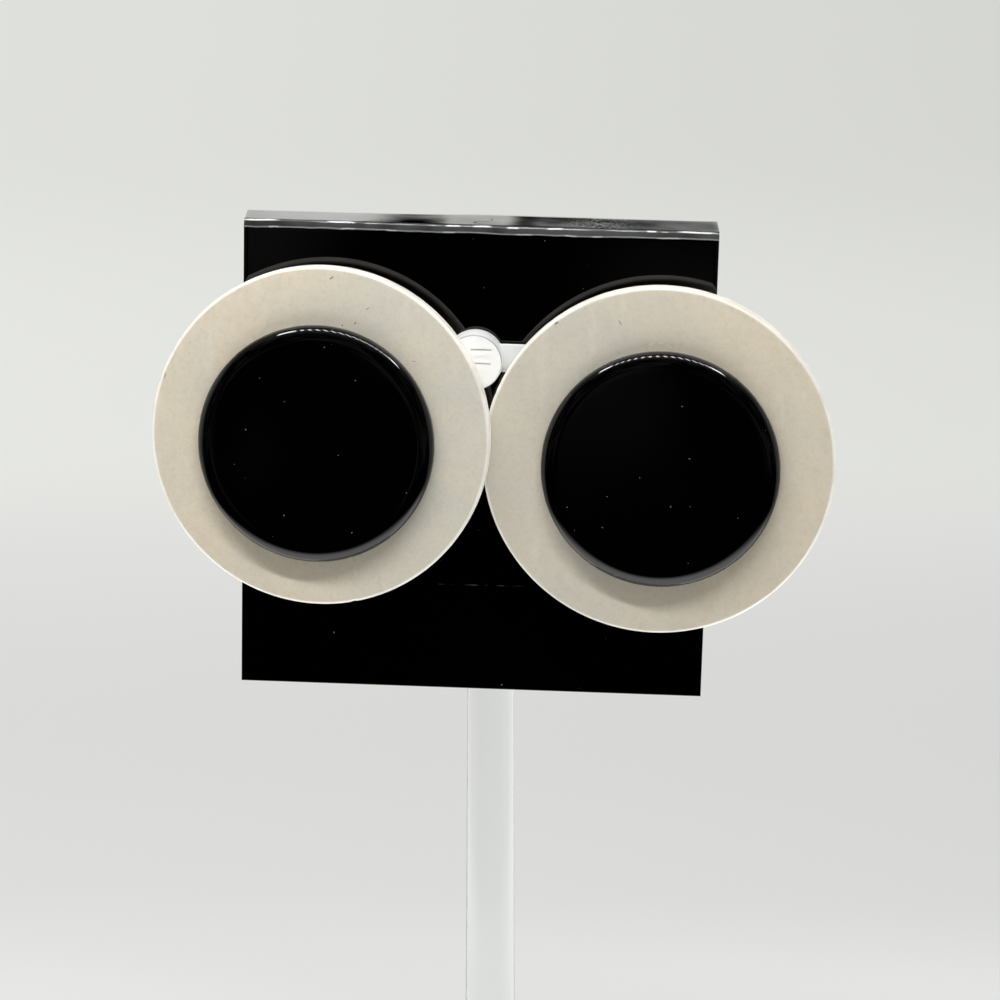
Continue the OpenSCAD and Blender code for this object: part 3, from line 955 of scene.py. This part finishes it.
class OBJECT_OT_studio(bpy.types.Operator):
    """Sets up the pale studio, the camera and the lights"""
    bl_idname = "earring.studio"
    bl_label = "Studio"

    def bowl(self):
        """A round floor that rises into walls and a ceiling, seen by the camera and through the stand."""
        floor_r, bend, height = 1.0, 0.5, 1.3
        profile = [(0, 0), (0.2, 0), (0.5, 0), (floor_r, 0)]
        profile += arc((floor_r, bend), bend, -90, 0, 16)[1:]
        profile += arc((floor_r, height), bend, 0, 90, 16)
        profile += [(0, height + bend)]
        bm = turned(profile, 96)
        bmesh.ops.reverse_faces(bm, faces=bm.faces)
        s = sizes().studio
        n = MaterialNodes("studio_paint")
        n.put("Base Color", tuple(v * 0.3 for v in sizes().finish.studio))
        n.put("Roughness", 1.0)
        n.put("Specular IOR Level", 0.0)
        across, back = n.axes(n.where)[:2]
        far = n.between(back, 0.25, 0.42)
        n.put("Emission Color", n.mix(far, (0.72, 0.72, 0.71), sizes().finish.studio))
        # Painted light and shade on the glowing backdrop: brighter to the left and close to the stand, a
        # faint painted shadow in a band behind it, dimmer far back
        fall = n.between(across, -0.5, 0.5, 1.087 * s.wall_light, 0.913 * s.wall_light)
        fall = n.calc(fall, n.between(back, 0.15, 0.42, 0.93, 1.08), "MULTIPLY")
        fall = n.calc(fall, n.between(back, 0.5, 1.1, 1.0, 0.93), "MULTIPLY")
        fall = n.calc(fall, n.between(back, 0.105, 0.055, 1.0, 1.14), "MULTIPLY")
        n.put("Emission Strength", fall)
        bowl = smooth_object("studio_bowl", bm, n.material)
        bowl.visible_glossy = False
        bowl.visible_diffuse = False
        bowl.visible_shadow = False

    def surroundings(self):
        """What lights and is reflected: bright ceiling and floor, pale sides and back, a dark front."""
        s = sizes().studio
        world = bpy.data.worlds.new("surroundings")
        bpy.context.scene.world = world
        world.use_nodes = True
        n = NodeTree(world.node_tree)
        n.where = n.add("ShaderNodeTexCoord").outputs["Generated"]
        across, back, up = n.axes(n.where)
        above = n.between(up, 0.42, 0.75, 0.0, s.ceiling_light)
        above = n.calc(above, n.between(back, 0.3, 0.0), "MULTIPLY")
        below = n.between(up, -0.45, -0.70, 0.0, s.floor_light)
        left = n.between(across, -0.76, -0.96, 0.0, s.left_light)
        right = n.between(across, 0.76, 0.96, 0.0, s.right_light)
        behind = n.between(back, -0.1, 0.3, 0.0, s.back_light)
        behind = n.calc(behind, n.between(up, 0.33, 0.20), "MULTIPLY")
        around = n.calc(n.calc(left, right), behind, "MAXIMUM")
        light = n.calc(n.calc(above, below), around)
        room = n.between(n.noise(9.0, 2.0), 0.45, 0.62, 0.0, s.room_light)
        light = n.calc(light, n.calc(room, n.between(up, -0.22, -0.12), "MULTIPLY"))
        background = n.tree.nodes["Background"]
        n.feed(background.inputs["Color"], (1.0, 1.0, 0.985))
        n.link(light, background.inputs["Strength"])

    def camera(self):
        s = sizes().studio
        aim = Vector((s.aim_x, -sizes().card.front, s.aim_z))
        a, e = s.camera_azimuth, s.camera_elevation
        away = Vector((math.sin(a) * math.cos(e), -math.cos(a) * math.cos(e), math.sin(e)))
        data = bpy.data.cameras.new("camera")
        data.lens = s.focal
        data.sensor_width = 36.0
        data.clip_start = 0.01
        camera = linked("camera", data)
        turn = (-away).to_track_quat("-Z", "Y").to_matrix().to_4x4()
        camera.matrix_world = (Matrix.Translation(aim + away * s.camera_distance) @ turn
                               @ Matrix.Rotation(s.camera_roll, 4, "Z"))
        bpy.context.scene.camera = camera

    def lamp(self, name, place, size, power, target, in_gloss):
        """A flat lamp that faces the target. It either lights it softly or shows in its gloss."""
        data = bpy.data.lights.new(name, "AREA")
        data.energy = power
        data.shape = "RECTANGLE"
        data.size, data.size_y = size
        lamp = linked(name, data)
        lamp.location = place
        lamp.rotation_euler = (Vector(target) - Vector(place)).to_track_quat("-Z", "Y").to_euler()
        lamp.visible_camera = False
        lamp.visible_glossy = in_gloss
        lamp.visible_diffuse = not in_gloss
        return lamp

    def beads(self, data, start, pitch, solid):
        """Divides a lamp's light across into a row of beads, solid outside these two places."""
        half_bead, bead_light, gap_light = 0.21, 0.65, 0.02
        data.use_nodes = True
        n = NodeTree(data.node_tree)
        across = n.axes(n.add("ShaderNodeNewGeometry").outputs["Position"])[0]
        phase = n.calc(n.calc(across, start, "SUBTRACT"), 1 / pitch, "MULTIPLY")
        bead = n.calc(n.calc(phase, 0.5, "PINGPONG"), half_bead, "LESS_THAN")
        bead = n.calc(n.calc(bead, bead_light, "MULTIPLY"), gap_light)
        left = n.calc(across, solid[0], "LESS_THAN")
        right = n.calc(across, solid[1], "GREATER_THAN")
        shown = n.calc(bead, n.calc(left, right, "MAXIMUM"), "MAXIMUM")
        n.link(shown, n.tree.nodes["Emission"].inputs["Strength"])

    def lights(self):
        """A strip of small lamps above the front, which lights softly and shows as beads in gloss."""
        s = sizes().studio
        discs = Vector((0.0, -0.008, 0.092))
        middle = Vector((0.006, -0.074, 0.240))
        below = middle + Vector((0.0, 0.066, -0.148))
        soft = discs + (middle + Vector((s.strip_shift, 0.0, 0.0)) - discs) * s.strip_far
        soft_size, bead_size = (0.2 * s.strip_far, 0.012), (0.232, 0.045)
        self.lamp("strip", soft, soft_size, s.strip_power, discs, in_gloss=False)
        shown = self.lamp("strip_beads", middle, bead_size, s.bead_power, below, in_gloss=True)
        self.beads(shown.data, start=-0.080, pitch=0.0118, solid=(-0.082, 0.092))

    def execute(self, context):
        bpy.context.scene.view_settings.view_transform = "Standard"
        self.bowl()
        self.surroundings()
        self.camera()
        self.lights()
        return {"FINISHED"}


class VIEW3D_PT_earring_stand(bpy.types.Panel):
    """Lists the steps that make the object and its studio"""
    bl_label = "Disc Earrings"
    bl_space_type = "VIEW_3D"
    bl_region_type = "UI"
    bl_category = "Earrings"

    def draw(self, context):
        for step in STEPS:
            self.layout.operator(step)


GROUPS = (EarringSizes, EarringPlace, CardSizes, StandSizes, Finishes, StudioSizes, EarringStand)
OPERATORS = (OBJECT_OT_studio, OBJECT_OT_stand, OBJECT_OT_display_card, OBJECT_OT_clip_bar,
             OBJECT_OT_clips, OBJECT_OT_cream_discs, OBJECT_OT_black_discs)
STEPS = tuple(operator.bl_idname for operator in OPERATORS)


def register():
    for item in (*GROUPS, *OPERATORS, VIEW3D_PT_earring_stand):
        bpy.utils.register_class(item)
    bpy.types.Scene.earring_stand = PointerProperty(type=EarringStand)


def unregister():
    del bpy.types.Scene.earring_stand
    for item in reversed((*GROUPS, *OPERATORS, VIEW3D_PT_earring_stand)):
        bpy.utils.unregister_class(item)


def main():
    register()
    place_right_earring(sizes().right)
    for step in STEPS:
        group, name = step.split(".")
        getattr(getattr(bpy.ops, group), name)()


if __name__ == "__main__":
    main()
